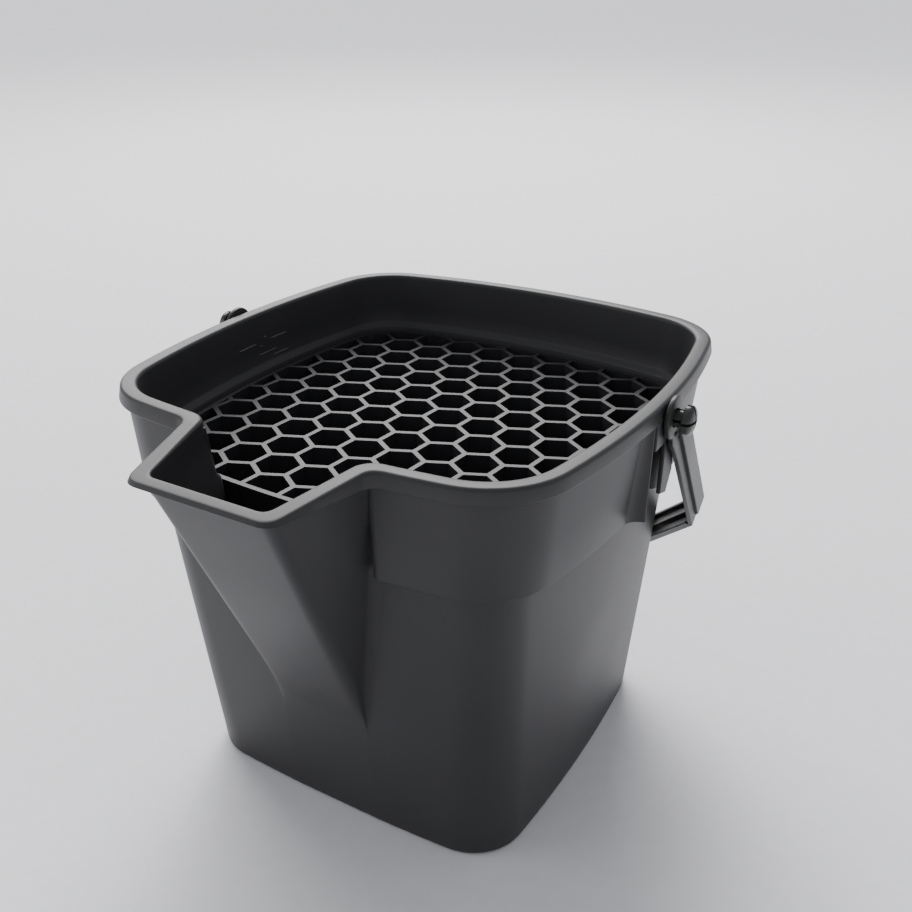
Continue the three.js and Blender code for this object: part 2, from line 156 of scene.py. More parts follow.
BAIL_REST = math.radians(42.5)  # from straight down, towards +Y
BAIL_HALF_WIDTH = 10
BAIL_STRIP = 3
BAIL_PAD_START = 14
BAIL_ARM_START = 20
BAIL_ELBOW = (144.8, 138.8)
BAIL_GRIP_CORNER = (101, 207)
BAIL_GRIP_FILLET = 24
BAIL_DEPTH = 5
BAIL_WEB = 2.2
BAIL_FLANGE = 2.2
BAIL_MID_RIB = 2
BAIL_PAD = 2
BAIL_PAD_EDGE = -3
BAIL_PAD_SUNK = 1
BAIL_PAD_END = 0.955  # where the raised part ends, as a share of the way to the elbow
BAIL_PAD_SLOPE = 5
ARM_INSET = 0.04  # the arm lies this much inside the eyelet's faces
# The blend from the eyelet into the arm: distance from the pivot, half width, and step inwards.
BLEND = [(7, 9.6, 0), (12, 11.3, 0), (18, 10.9, 0), (26, 10.3, 0.3), (34, 9.9, 0.7)]
NUB_RADIUS = 1.7
NUB_HEIGHT = 1.5
NUB_SUNK = 0.3
NUB_PLACE = (9.5, -5)  # outwards from the pivot, and across the arm

# Filling-level dashes inside: from and to along Y, height, and thickness.
LEVEL_MARKS = [
    (-19, 0, 244, 0.9),
    (14, 31, 244, 0.9),
    (3, 5, 241.5, 1.0),
    (8, 10, 246.5, 1.0),
    (0, 20, 236, 0.6),
    (14, 31, 232.5, 0.8),
]


# ---- small helpers ----------------------------------------------------------------------------

def lerp(a, b, t):
    return a + (b - a) * t


def add_mesh(name, vertices, faces, sharp_degrees=32):
    """A mesh object from points in millimetres, smooth but for edges sharper than the angle."""
    mesh = bpy.data.meshes.new(name)
    mesh.from_pydata([Vector(v) * MM for v in vertices], [], faces)
    work = bmesh.new()
    work.from_mesh(mesh)
    bmesh.ops.remove_doubles(work, verts=work.verts, dist=2e-6)
    bmesh.ops.recalc_face_normals(work, faces=work.faces)
    work.to_mesh(mesh)
    work.free()
    mesh.shade_smooth()
    mesh.set_sharp_from_angle(angle=math.radians(sharp_degrees))
    piece = bpy.data.objects.new(name, mesh)
    bpy.context.scene.collection.objects.link(piece)
    return piece


def round_edges(piece, width, degrees=40):
    bevel = piece.modifiers.new("rounded", "BEVEL")
    bevel.width = width * MM
    bevel.segments = 2
    bevel.limit_method = "ANGLE"
    bevel.angle_limit = math.radians(degrees)
    bevel.harden_normals = False
    return piece


def skin(rings, around=True, capped=True):
    """Faces over rings with the same number of points; around closes each ring on itself."""
    count = len(rings[0])
    points = [point for ring in rings for point in ring]
    faces = []
    for row in range(len(rings) - 1):
        for i in range(count if around else count - 1):
            a = row * count + i
            b = row * count + (i + 1) % count
            faces.append((a, b, b + count, a + count))
    if capped:
        last = (len(rings) - 1) * count
        faces.append(tuple(range(count - 1, -1, -1)))
        faces.append(tuple(range(last, last + count)))
    return points, faces


def join_parts(parts):
    """One list of points and one of faces from several."""
    points, faces = [], []
    for more_points, more_faces in parts:
        start = len(points)
        points += more_points
        faces += [tuple(i + start for i in face) for face in more_faces]
    return points, faces


def mirrored_x(part):
    points, faces = part
    return [(-x, y, z) for x, y, z in points], [tuple(reversed(face)) for face in faces]


def finish_piece(piece, body, slot, material, *nodes):
    piece.data.materials.clear()
    piece.data.materials.append(material)
    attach(piece, body)
    if nodes:
        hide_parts(*nodes)
    return piece


# ---- the plan outline ---------------------------------------------------------------------------

SIDE_STEPS = 14
CORNER_STEPS = 18
END_STEPS = 24
FRONT_CORNER = 2 * SIDE_STEPS + 2 * CORNER_STEPS + END_STEPS  # index where a half's front arc begins


def arc(centre, radius, start, end, steps):
    """Points on an arc, without its last one."""
    angles = start + (end - start) * np.arange(steps) / steps
    return np.stack([centre[0] + radius * np.cos(angles), centre[1] + radius * np.sin(angles)], 1)


def quarter(half_width, half_depth, side, end, corner):
    """One quarter of an outline, from the X axis to the Y axis: side arc, corner and end arc."""
    side_centre = np.array([half_width - side, 0.0])
    end_centre = np.array([0.0, half_depth - end])
    across = end_centre - side_centre
    distance = np.linalg.norm(across)
    unit = across / distance
    reach_side, reach_end = side - corner, end - corner
    along = (reach_side ** 2 - reach_end ** 2 + distance ** 2) / (2 * distance)
    off = math.sqrt(reach_side ** 2 - along ** 2)
    centre = side_centre + unit * along + np.abs(unit[::-1]) * off
    turn_start = math.atan2(centre[1] - side_centre[1], centre[0] - side_centre[0])
    turn_end = math.atan2(centre[1] - end_centre[1], centre[0] - end_centre[0])
    return np.concatenate([
        arc(side_centre, side, 0, turn_start, SIDE_STEPS),
        arc(centre, corner, turn_start, turn_end, CORNER_STEPS),
        arc(end_centre, end, turn_end, math.pi / 2, END_STEPS),
        [[0, half_depth]],
    ])


def half_outline(plan, inset):
    """The +X half of an outline, from the middle of the back to the middle of the front."""
    sizes = [plan["half_width"] - inset, plan["half_depth"] - inset, plan["side"] - inset]
    back = quarter(*sizes, plan["back"] - inset, plan["corner"] - inset)
    front = quarter(*sizes, plan["front"] - inset, plan["corner"] - inset) * [1, -1]
    half = np.concatenate([back[::-1], front[1:]])
    return half + [0, plan["shift"]]


def body_half(z, inset):
    """The tapering wall's outline at one height."""
    low = half_outline(BASE_PLAN, inset)
    high = half_outline(RIM_PLAN, BODY_INSET + inset)
    return lerp(low, high, z / SKIRT_BOTTOM)


def wall_y(half, x):
    """Where the front of a half outline is, at a distance from the middle."""
    front = half[FRONT_CORNER:][::-1]
    return np.interp(x, front[:, 0], front[:, 1])


def side_x(half, y):
    """How far out the side of a half outline is, at a depth."""
    return np.interp(-y, -half[:, 1], half[:, 0])


# ---- the spout's outline ---------------------------------------------------------------------------

ROUND_STEPS = 9
STRAIGHT_STEPS = 6
WALL_STEPS = 18


def curve_through(start, corner, end, steps):
    """A quadratic curve that rounds a corner, without its last point."""
    t = (np.arange(steps) / steps)[:, None]
    return (1 - t) ** 2 * start + 2 * t * (1 - t) * corner + t ** 2 * end


def straight(start, end, steps):
    t = (np.arange(steps) / steps)[:, None]
    return lerp(start, end, t)


def soft_positive(value, softness):
    """About the value itself above zero, running out softly towards zero below it."""
    return (value + math.sqrt(value ** 2 + softness ** 2)) / 2


def side_length(half, lip, inwards):
    """How far the spout's side runs back from the lip before it meets the wall."""
    low, high = 0.0, 200.0
    for _ in range(40):
        middle = (low + high) / 2
        point = lip + inwards * middle
        if point[1] < wall_y(half, point[0]):
            low = middle
        else:
            high = middle
    return low


def with_spout(half, root, lip, root_round, lip_round):
    """Puts the spout into a half outline. root and lip are two points on the spout's side line."""
    root, lip = np.array(root, float), np.array(lip, float)
    lip[1] = wall_y(half, lip[0]) - soft_positive(wall_y(half, lip[0]) - lip[1], SPOUT_RUN_OUT)
    inwards = (root - lip) / np.linalg.norm(root - lip)
    length = side_length(half, lip, inwards)
    corner = lip + inwards * length
    on_side = inwards * min(root_round, ROUND_LIMIT * length)
    near_lip = inwards * min(lip_round, ROUND_LIMIT * length)
    beside_x = corner[0] + root_round
    beside = np.array([beside_x, wall_y(half, beside_x)])
    start_x = half[FRONT_CORNER][0]
    wall_x = start_x + (beside_x - start_x) * np.arange(WALL_STEPS) / WALL_STEPS
    wall = np.stack([wall_x, wall_y(half, wall_x)], 1)
    front_start = lip - [lip_round, 0]
    return np.concatenate([
        half[:FRONT_CORNER],
        wall,
        curve_through(beside, corner, corner - on_side, ROUND_STEPS),
        straight(corner - on_side, lip + near_lip, STRAIGHT_STEPS),
        curve_through(lip + near_lip, lip, front_start, ROUND_STEPS),
        straight(front_start, np.array([0, lip[1]]), STRAIGHT_STEPS),
        [[0, lip[1]]],
    ])


def full_ring(half, z, drop=0.0):
    """Both halves of an outline at a height, dropping by so much from the spout's root to its lip."""
    along = np.clip((SPOUT_ROOT_Y - half[:, 1]) / (SPOUT_ROOT_Y - SPOUT_LIP_Y), 0, 1)
    heights = z - drop * along
    right = [(x, y, h) for (x, y), h in zip(half, heights)]
    left = [(-x, y, h) for x, y, h in right[-2:0:-1]]
    return right + left


def rim_ring(inset, z):
    """A ring of the rim, at an even distance in from its outer edge, round the spout too."""
    share = inset / RIM_WIDTH
    root = (SPOUT_ROOT_HALF - SPOUT_RIM_NARROWING * share, SPOUT_ROOT_Y)
    lip = (SPOUT_LIP_HALF - SPOUT_RIM * share, SPOUT_LIP_Y + SPOUT_RIM * share)
    root_round = lerp(*SPOUT_RIM_ROOT_ROUNDS, share)
    lip_round = lerp(*SPOUT_RIM_LIP_ROUNDS, share)
    half = with_spout(half_outline(RIM_PLAN, inset), root, lip, root_round, lip_round)
    return full_ring(half, z, SPOUT_LIP_DROP * (z - RIM_BOTTOM) / RIM_DROP)


def wall_ring(half, z, depth):
    """A ring of the wall with the spout's wedge, depth in from the wedge's outer face."""
    low_z = SPOUT_LOW_Z + depth * 2
    share = (z - low_z) / (RIM_BOTTOM - low_z)
    width_share = max(share, -0.1)  # the wedge, hidden in the wall below its foot, keeps its width
    top_inset = SPOUT_RIM - SPOUT_WALL + depth
    low_half = SPOUT_LOW_HALF - depth
    low_y = wall_y(body_half(SPOUT_LOW_Z, 0), 0) + depth
    lip_x = lerp(low_half - 0.5, SPOUT_LIP_HALF - top_inset, width_share)
    lip_y = lerp(low_y, SPOUT_LIP_Y + top_inset, share)
    root_x = lerp(low_half, SPOUT_ROOT_HALF - top_inset, width_share)
    root_y = lerp(low_y + SPOUT_START_DEPTH, SPOUT_ROOT_Y, share)
    root = np.array([lip_x, lip_y]) + [root_x - lip_x, max(root_y - lip_y, 1)]
    front_round = SPOUT_FRONT_ROUNDS[0 if depth == 0 else 1]
    return full_ring(with_spout(half, root, (lip_x, lip_y), SPOUT_WALL_ROUND, front_round), z)


# ---- the bucket shell ----------------------------------------------------------------------------

def quarter_round(inset_from, z_from, inset_to, z_to, steps, round_first):
    """Insets and heights on a quarter turn. round_first says which of the two moves first."""
    for i in range(steps + 1):
        angle = math.pi / 2 * i / steps
        first, second = math.sin(angle), 1 - math.cos(angle)
        if round_first == "z":
            yield lerp(inset_from, inset_to, second), lerp(z_from, z_to, first)
        else:
            yield lerp(inset_from, inset_to, first), lerp(z_from, z_to, second)


def outer_rings():
    rings = []
    for inset, z in quarter_round(FOOT_RADIUS, 0, 0, FOOT_RADIUS, 5, "inset"):
        rings.append(wall_ring(body_half(z, inset), z, 0))
    for z in OUTER_HEIGHTS:
        rings.append(wall_ring(body_half(z, 0), z, 0))
    rings.append(wall_ring(body_half(LEDGE_HEIGHT - WALL, 0), LEDGE_HEIGHT - WALL, 0))
    pocket = [(POCKET_INSET, LEDGE_HEIGHT), (POCKET_INSET, POCKET_TOP), (SHELF_INSET, SHELF_TOP)]
    for inset, z in pocket:
        rings.append(wall_ring(half_outline(RIM_PLAN, inset - WALL), z, 0))
    rings.append(wall_ring(half_outline(RIM_PLAN, RIM_WIDTH - WALL), RIM_BOTTOM, 0))
    return rings


def rim_rings():
    edge, top_round, inner_round = 0.9, 2.2, 2.6
    top_flare = 0.2  # the rim's outer face leans in from its full flare to this
    profile = [(RIM_WIDTH - WALL, RIM_BOTTOM)]
    profile += quarter_round(edge - RIM_FLARE, RIM_BOTTOM, -RIM_FLARE, RIM_BOTTOM + edge, 3, "inset")
    profile += quarter_round(-top_flare, RIM_TOP - top_round, top_round, RIM_TOP, 5, "z")
    profile += [(RIM_WIDTH / 2, RIM_TOP)]
    inner = RIM_WIDTH - inner_round
    profile += quarter_round(inner, RIM_TOP, RIM_WIDTH, RIM_TOP - inner_round, 5, "inset")
    return [rim_ring(inset, z) for inset, z in profile]


def inner_rings():
    rings = []
    shelf_edge = 0.6
    floor_round = 5
    for inset, z in (
        (RIM_WIDTH + 0.9, 252),
        (SHELF_INSET - 1, 240),
        (SHELF_INSET, SHELF_TOP + shelf_edge),
        (SHELF_INSET + shelf_edge, SHELF_TOP - shelf_edge),
        (POCKET_INSET - shelf_edge, POCKET_TOP + shelf_edge),
        (POCKET_INSET, POCKET_TOP - shelf_edge),
        (POCKET_INSET, LEDGE_HEIGHT + 0.5),
        (POCKET_INSET + 0.5, LEDGE_HEIGHT),
    ):
        rings.append(wall_ring(half_outline(RIM_PLAN, inset), z, SPOUT_WALL))
    ledge = LEDGE_HEIGHT - 0.01  # just under the ring before, which ends the pocket
    rings.append(wall_ring(body_half(ledge, WALL - 0.6), ledge, SPOUT_WALL))
    rings.append(wall_ring(body_half(ledge - 0.7, WALL), ledge - 0.7, SPOUT_WALL))
    for z in INNER_HEIGHTS:
        rings.append(wall_ring(body_half(z, WALL), z, SPOUT_WALL))
    for inset, z in quarter_round(WALL, FLOOR + floor_round, WALL + floor_round, FLOOR, 5, "z"):
        rings.append(wall_ring(body_half(z, inset), z, SPOUT_WALL))
    return rings


def shell_walls():
    return skin(outer_rings() + rim_rings() + inner_rings())


def skirt_inset(z):
    share = (z - SKIRT_BOTTOM) / (RIM_BOTTOM + 1 - SKIRT_BOTTOM)
    return lerp(SKIRT_BOTTOM_INSET, SKIRT_TOP_INSET, share)


def resampled(line, count):
    """The same line with evenly spaced points."""
    steps = np.linalg.norm(np.diff(line, axis=0), axis=1)
    reach = np.concatenate([[0], np.cumsum(steps)])
    wanted = np.linspace(0, reach[-1], count)
    return np.stack([np.interp(wanted, reach, line[:, axis]) for axis in (0, 1)], 1)


def skirt_end(corner, on_outline, inwards, rounding, offset, z):
    """The return wall at one end of the skirt, from inside the body's wall out to the outline."""
    heights = (SKIRT_BOTTOM, (SKIRT_BOTTOM + RIM_BOTTOM) / 2, RIM_BOTTOM)
    inside = corner + inwards * (np.interp(z, heights, SKIRT_RETURN) - offset)
    before = corner + inwards * rounding
    return np.concatenate([[inside], curve_through(before, corner, on_outline, SKIRT_END_STEPS)])


def skirt_line(offset, z, front):
    """One lengthwise line of the skirt on the +X side, offset in from its outer face."""
    half = half_outline(RIM_PLAN, skirt_inset(z) + offset)
    rounding = SKIRT_CORNER - offset
    sign = -1 if front else 1
    corner_y = sign * (RECESS_HALF_WIDTH + offset)
    leaving_y = corner_y + sign * rounding
    corner = np.array([side_x(half, corner_y), corner_y])
    leaving = np.array([side_x(half, leaving_y), leaving_y])
    start = skirt_end(corner, leaving, np.array([-1, 0]), rounding, offset, z)
    if not front:
        rest = half[half[:, 1] > leaving[1]][::-1]
        return np.concatenate([start, resampled(np.concatenate([[leaving], rest]), SKIRT_STATIONS)])
    end_x = SKIRT_END_X + offset
    arriving = np.array([end_x + rounding, wall_y(half, end_x + rounding)])
    end_corner = np.array([end_x, wall_y(half, end_x)])
    end = skirt_end(end_corner, arriving, np.array([0, 1]), rounding, offset, z)[::-1]
    rest = half[(half[:, 1] < leaving[1]) & (half[:, 0] > arriving[0])]
    middle = resampled(np.concatenate([[leaving], rest, [arriving]]), SKIRT_STATIONS)
    return np.concatenate([start, middle, end])


def skirt_section():
    """The skirt's cross-section: how far in from the outer face, and how high."""
    edge = 0.9
    thick = SKIRT_THICKNESS
    section = [(0, RIM_BOTTOM + 2), (0, lerp(SKIRT_BOTTOM, RIM_BOTTOM, 0.5))]
    section += quarter_round(0, SKIRT_BOTTOM + edge, edge, SKIRT_BOTTOM, 3, "z")
    section += quarter_round(thick - edge, SKIRT_BOTTOM, thick, SKIRT_BOTTOM + edge, 3, "inset")
    section += [(thick, lerp(SKIRT_BOTTOM, RIM_BOTTOM, 0.5)), (thick, RIM_BOTTOM + 2)]
    return section


def skirt_band(front):
    lines = []
    for offset, z in skirt_section():
        line = skirt_line(offset, z, front)
        if not front:
            line = np.concatenate([line, line[-2::-1] * [-1, 1]])
        lines.append([(x, y, z) for x, y in line])
    return skin([list(station) for station in zip(*lines)])


def prism(outline, low_y, high_y):
    """A solid from an outline in X and Z, between two depths."""
    return skin([[(x, y, z) for x, z in outline] for y in (low_y, high_y)])


def ear():
    """The plate under the rim on the +X side, with a rib back to the wall at each edge and a tongue."""
    inner = EAR_OUTER_X - EAR_THICKNESS
    top = RIM_BOTTOM + 2
    plate = [(inner, EAR_BOTTOM), (EAR_OUTER_X, EAR_BOTTOM), (EAR_OUTER_X, top), (inner, top)]
    parts = [prism(plate, -EAR_HALF_WIDTH, EAR_HALF_WIDTH)]
    into_wall, into_plate = WALL * 0.5, 1
    rib = [
        (inner_wall_x(EAR_HALF_WIDTH, EAR_BOTTOM) + into_wall, EAR_BOTTOM),
        (inner + into_plate, EAR_BOTTOM),
        (inner + into_plate, top),
        (inner_wall_x(EAR_HALF_WIDTH, top) + into_wall, top),
    ]
    for edge in (-EAR_HALF_WIDTH, EAR_HALF_WIDTH - EAR_RIB):
        parts.append(prism(rib, edge, edge + EAR_RIB))
    faces_x = (TONGUE_OUTER_X - TONGUE_THICKNESS, TONGUE_OUTER_X)
    parts.append(skin([[(x, y, z) for y, z in TONGUE] for x in faces_x]))
    return join_parts(parts)


def cheek():
    """The wall that closes the recess in front on the +X side, turned out from the skirt's end."""
    tip = [(CHEEK_TIP_X + x, y) for x, y in CHEEK_TIP]
    rings = []
    for z, root_x in CHEEK_ROOTS:
        face_x = RIM_PLAN["half_width"] - skirt_inset(z)
        along_skirt = [CHEEK_START, CHEEK_BEND, *CHEEK_BURIED]
        start, bend, *buried = [np.array([face_x + x, y]) for x, y in along_skirt]
        front = curve_through(start, bend, np.array(tip[0]), 10)
        root = [(root_x, y) for y in CHEEK_ROOT_Y]
        rings.append([(x, y, z) for x, y in [*front, *tip, *root, *buried]])
    return skin(rings)


def inner_wall_x(y, z):
    """How far out the inside of the side wall is, above the shelf."""
    share = (z - SHELF_TOP) / (RIM_TOP - SHELF_TOP)
    inset = lerp(SHELF_INSET, RIM_WIDTH, share)
    radius = RIM_PLAN["side"] - inset
    return RIM_PLAN["half_width"] - inset - radius + math.sqrt(radius ** 2 - y ** 2)


def level_mark(start_y, end_y, z, height):
    """A raised dash on the inside of the -X wall, showing a filling level."""
    proud, sunk, taper, slope = 0.35, 0.5, 0.35, 0.2
    steps = 6
    stations = []
    for i in range(steps + 1):
        y = lerp(start_y, end_y, i / steps)
        ends = taper if i in (0, steps) else 1
        low, high = z - height / 2 * ends, z + height / 2 * ends
        face = inner_wall_x(y, z)
        top = proud * ends
        stations.append([
            (-face - sunk, y, low),
            (-face + top, y, low + height * slope),
            (-face + top, y, high - height * slope),
            (-face - sunk, y, high),
        ])
    return skin(stations)


def build_bucket(material, mark_highlight_material):
    shell = add_mesh("shell_walls", *shell_walls(), sharp_degrees=38)
    finish_piece(shell, "bucket", "bucket_plastic", material, "bucket_shell")
    parts = {"skirt_back": skirt_band(front=False)}
    for name, part in (("skirt_front", skirt_band(front=True)), ("cheek", cheek())):
        parts[f"{name}_right"] = part
        parts[f"{name}_left"] = mirrored_x(part)
    for name, part in parts.items():
        finish_piece(add_mesh(name, *part), "bucket", "bucket_plastic", material)
    for name, part in (("ear_right", ear()), ("ear_left", mirrored_x(ear()))):
        plate = round_edges(add_mesh(name, *part), 0.7)
        finish_piece(plate, "bucket", "bucket_plastic", material)
    # The level marks get a lighter material than the wall: a painted highlight for the light on their
    # raised edges.
    marks = join_parts([level_mark(*mark) for mark in LEVEL_MARKS])
    finish_piece(add_mesh("level_marks", *marks), "bucket", "bucket_plastic", mark_highlight_material)


# ---- the grit guard -------------------------------------------------------------------------------

def build_guard(material):
    """The guard's own lattice from the frame, with its edges rounded."""
    mesh = frame["nodes"]["grit_guard"].data.copy()
    work = bmesh.new()
    work.from_mesh(mesh)
    bmesh.ops.remove_doubles(work, verts=work.verts, dist=2e-6)
    bmesh.ops.dissolve_limit(work, angle_limit=math.radians(2), verts=work.verts, edges=work.edges)
    work.to_mesh(mesh)
    work.free()
    guard = bpy.data.objects.new("guard_lattice", mesh)
    bpy.context.scene.collection.objects.link(guard)
    round_edges(guard, 0.35, 30)
    finish_piece(guard, "guard", "guard_plastic", material, "grit_guard")


# ---- the bail --------------------------------------------------------------------------------------

BEND_STEPS = 14
ELBOW = 3  # the elbow's index on the bail's line


def bail_point(x, out, across):
    """A point given sideways, outwards from the pivots and across the strip, as the bail hangs."""
    y = out * math.sin(BAIL_REST) + across * math.cos(BAIL_REST)
    z = PIVOT_Z - out * math.cos(BAIL_REST) + across * math.sin(BAIL_REST)
    return x, y, z


def bail_line():
    """The +X half of the bail's outer face: arm, elbow, shoulder and half of the grip."""
    elbow = np.array(BAIL_ELBOW, float)
    corner = np.array(BAIL_GRIP_CORNER, float)
    back = (elbow - corner) / np.linalg.norm(elbow - corner)
    turn = math.acos(back[0])
    centre = corner - [BAIL_GRIP_FILLET * math.tan(turn / 2), BAIL_GRIP_FILLET]
    bend = arc(centre, BAIL_GRIP_FILLET, math.pi / 2 - turn, math.pi / 2, BEND_STEPS)
    arm = [[EYELET_OUTER_X, out] for out in (PIN_RADIUS + 1.5, BAIL_PAD_START, BAIL_ARM_START)]
    return np.concatenate([arm, [elbow], bend, [[centre[0], corner[1]], [0, corner[1]]]])


def outward_steps(line):
    """At each point, the step that moves the line outwards by one, with mitred corners."""
    ahead = np.diff(line, axis=0)
    ahead /= np.linalg.norm(ahead, axis=1)[:, None]
    before = np.concatenate([ahead[:1], ahead])
    after = np.concatenate([ahead, [[-1, 0]]])
    normal = before + after
    normal = np.stack([normal[:, 1], -normal[:, 0]], 1)
    normal /= np.linalg.norm(normal, axis=1)[:, None]
    square = np.stack([before[:, 1], -before[:, 0]], 1)
    return normal / (normal * square).sum(1)[:, None]


def swept(line, steps, section):
    """A section, given outwards and across, along a stretch of the bail."""
    stations = []
    for point, step in zip(line, steps):
        stations.append([bail_point(*(point + step * out), across) for out, across in section])
    return skin(stations)


def arm_blend():
    """Where the eyelet's round runs out into the arm."""
    outer, inner = -2 * ARM_INSET, -BAIL_STRIP + 2 * ARM_INSET
    stations = []
    for reach, half, step_in in BLEND:
        face = EYELET_OUTER_X - step_in
        section = [(inner, -half), (inner, half), (outer, half), (outer, -half)]
        stations.append([bail_point(face + out, reach, across) for out, across in section])
    return skin(stations)


def arm_pad(line, steps):
    """The raised rear part of the arm, with a slope at each end."""
    low, edge = -BAIL_PAD_SUNK, BAIL_HALF_WIDTH
    section = [(low, BAIL_PAD_EDGE), (low, edge), (BAIL_PAD, edge), (BAIL_PAD, BAIL_PAD_EDGE)]
    end = lerp(line[ELBOW - 1], line[ELBOW], BAIL_PAD_END)
    sideways = np.array([1, 0])
    stations = []
    for point, step, slope in (
        (line[1], sideways, -BAIL_PAD_SLOPE / 2),
        (line[2], sideways, 0),
        (end, steps[ELBOW - 1], BAIL_PAD_SLOPE),
    ):
        station = []
        for out, across in section:
            along = slope if out < 0 else 0
            station.append(bail_point(*(point + step * out + [0, along]), across))
        stations.append(station)
    return skin(stations)


def arm_nub():
    """A small round nub on the arm's face, just below the pin."""
    reach, across = NUB_PLACE
    stations = []
    for turn in np.linspace(0, 1.45, 6):
        radius = NUB_RADIUS * math.cos(turn)
        x = EYELET_OUTER_X + NUB_HEIGHT * math.sin(turn) - NUB_SUNK
        stations.append([
            bail_point(x, reach + radius * math.cos(angle), across + radius * math.sin(angle))
            for angle in np.arange(16) * math.pi / 8
        ])
    return skin(stations)


def arm_parts():
    line = bail_line()
    steps = outward_steps(line)
    edge = BAIL_HALF_WIDTH
    outer, inner = -ARM_INSET, -BAIL_STRIP + ARM_INSET
    section = [(inner, -edge), (inner, edge), (outer, edge), (outer, -edge)]
    strip = swept(line[:ELBOW + 1], steps[:ELBOW + 1], section)
    return [strip, arm_blend(), arm_pad(line, steps), arm_nub()]


def hoop_part():
    line = bail_line()
    steps = outward_steps(line)[ELBOW:]
    line = line[ELBOW:]
    line = np.concatenate([line, line[-2::-1] * [-1, 1]])
    steps = np.concatenate([steps, steps[-2::-1] * [-1, 1]])
    edge, rib = BAIL_HALF_WIDTH, BAIL_MID_RIB / 2
    channel = edge - BAIL_FLANGE
    section = [(0, -edge), (0, edge), (-BAIL_DEPTH, edge), (-BAIL_DEPTH, channel), (-BAIL_WEB, channel)]
    section += [(-BAIL_WEB, rib), (-BAIL_DEPTH, rib)]
    section += [(out, -across) for out, across in reversed(section[2:])]
    return swept(line, steps, section)


def lathed(profile, point_at, steps=48):
    """A closed profile of radius and length turned right round an axis."""
    stations = []
    for i in range(steps):
        angle = 2 * math.pi * i / steps
        stations.append([point_at(r * math.cos(angle), r * math.sin(angle), x) for r, x in profile])
    count = len(profile)
    faces = []
    for i in range(steps):
        for j in range(count):
            a, b = i * count, (i + 1) % steps * count
            faces.append((a + j, a + (j + 1) % count, b + (j + 1) % count, b + j))
    return [point for station in stations for point in station], faces


def eyelet():
    edge, chamfer = 0.8, 0.3
    hole, radius = PIN_RADIUS + PIN_GAP, EYELET_RADIUS
    low, high = EYELET_INNER_X, EYELET_OUTER_X
    corner = edge * 0.3
    profile = [(hole + chamfer, low), (radius - edge, low), (radius - corner, low + corner)]
    profile += [(radius, low + edge), (radius, high - edge)]
    profile += [(radius - corner, high - corner), (radius - edge, high)]
    profile += [(hole + chamfer, high), (hole, high - chamfer), (hole, low + chamfer)]
    return lathed(profile, lambda out, across, x: bail_point(x, out, across))


def build_bail(material):
    arms = join_parts(arm_parts())
    parts = [arms, mirrored_x(arms), hoop_part(), eyelet(), mirrored_x(eyelet())]
    bail = add_mesh("bail_strip", *join_parts(parts), sharp_degrees=30)
    round_edges(bail, 0.45, 45)
    finish_piece(bail, "bail", "bail_plastic", material, "bail_handle")


# ---- the snap pins ------------------------------------------------------------------------------------

def pin_quarter(turn):
    """One of the head's four split quarters, with the part of the shank that carries it."""
    start = EYELET_INNER_X - 0.5
    dome = [
        (PIN_HEAD_RADIUS * math.cos(rise), PIN_DOME_X + PIN_DOME_HEIGHT * math.sin(rise))
        for rise in np.linspace(0, 1.4, 8)
    ]
    profile = [(PIN_CORE_RADIUS, start), (PIN_RADIUS, start), *PIN_HEAD_FOOT, *dome]
    profile.append((PIN_CORE_RADIUS, PIN_TIP_X))
    steps = 12
    stations = []
    for i in range(steps + 1):
        station = []
        for radius, x in profile:
            gap = math.asin(min(PIN_SLOT / 2 / radius, 0.7))
            angle = turn + lerp(gap, math.pi / 2 - gap, i / steps)
            station.append((x, radius * math.cos(angle), PIVOT_Z + radius * math.sin(angle)))
        stations.append(station)
    return skin(stations)


def pin_part():
    """The +X pin: its foot behind the ear, its shank and the four quarters of its head."""
    start = EAR_OUTER_X - EAR_THICKNESS - PIN_GAP
    foot, edge, thickness = PIN_FOOT_RADIUS, 0.5, 2
    axis = 0.01  # as good as on the axis
    back = start - thickness
    profile = [(axis, back), (foot - edge, back), (foot, back + edge), (foot, start)]
    profile += [(PIN_RADIUS, start), (PIN_RADIUS, EYELET_INNER_X), (axis, EYELET_INNER_X)]
    shank = lathed(profile, lambda y, z, x: (x, y, PIVOT_Z + z))
    return join_parts([shank] + [pin_quarter(math.pi / 2 * i) for i in range(4)])


def build_pins(material):
    right = pin_part()
    for name, part in (("right", right), ("left", mirrored_x(right))):
        pin = round_edges(add_mesh(f"pin_{name}", *part, sharp_degrees=35), 0.25, 60)
        finish_piece(pin, "bucket", "pin_plastic", material, f"snap_pin_{name}")


# ---- materials ------------------------------------------------------------------------------------------

PLASTIC_GLEAM = 0.26  # lower than Blender's own 0.5, as the photo's plastic hardly mirrors
SHADE_SPREAD = 0.06
GLOSS_SPREAD = 0.06
GRAIN_HEIGHT = 0.0003


def new_material(name):
    material = bpy.data.materials.new(name)
    material.use_nodes = True
    return material, material.node_tree.nodes, material.node_tree.links


def noise(nodes, links, scale, detail):
    """Noise in the piece's own space; returns the socket with its value."""
    place = nodes.new("ShaderNodeTexCoord")
    texture = nodes.new("ShaderNodeTexNoise")
    texture.inputs["Scale"].default_value = scale
    texture.inputs["Detail"].default_value = detail
    links.new(place.outputs["Object"], texture.inputs["Vector"])
    return texture.outputs["Fac"]


def shaded(nodes, links, value, low, high):
    """Makes the base colour run between two shades with a value; returns the colour ramp."""
    shade = nodes.new("ShaderNodeValToRGB")
    shade.color_ramp.elements[0].color = low
    shade.color_ramp.elements[1].color = high
    links.new(value, shade.inputs["Fac"])
    links.new(shade.outputs["Color"], nodes["Principled BSDF"].inputs["Base Color"])
    return shade.color_ramp


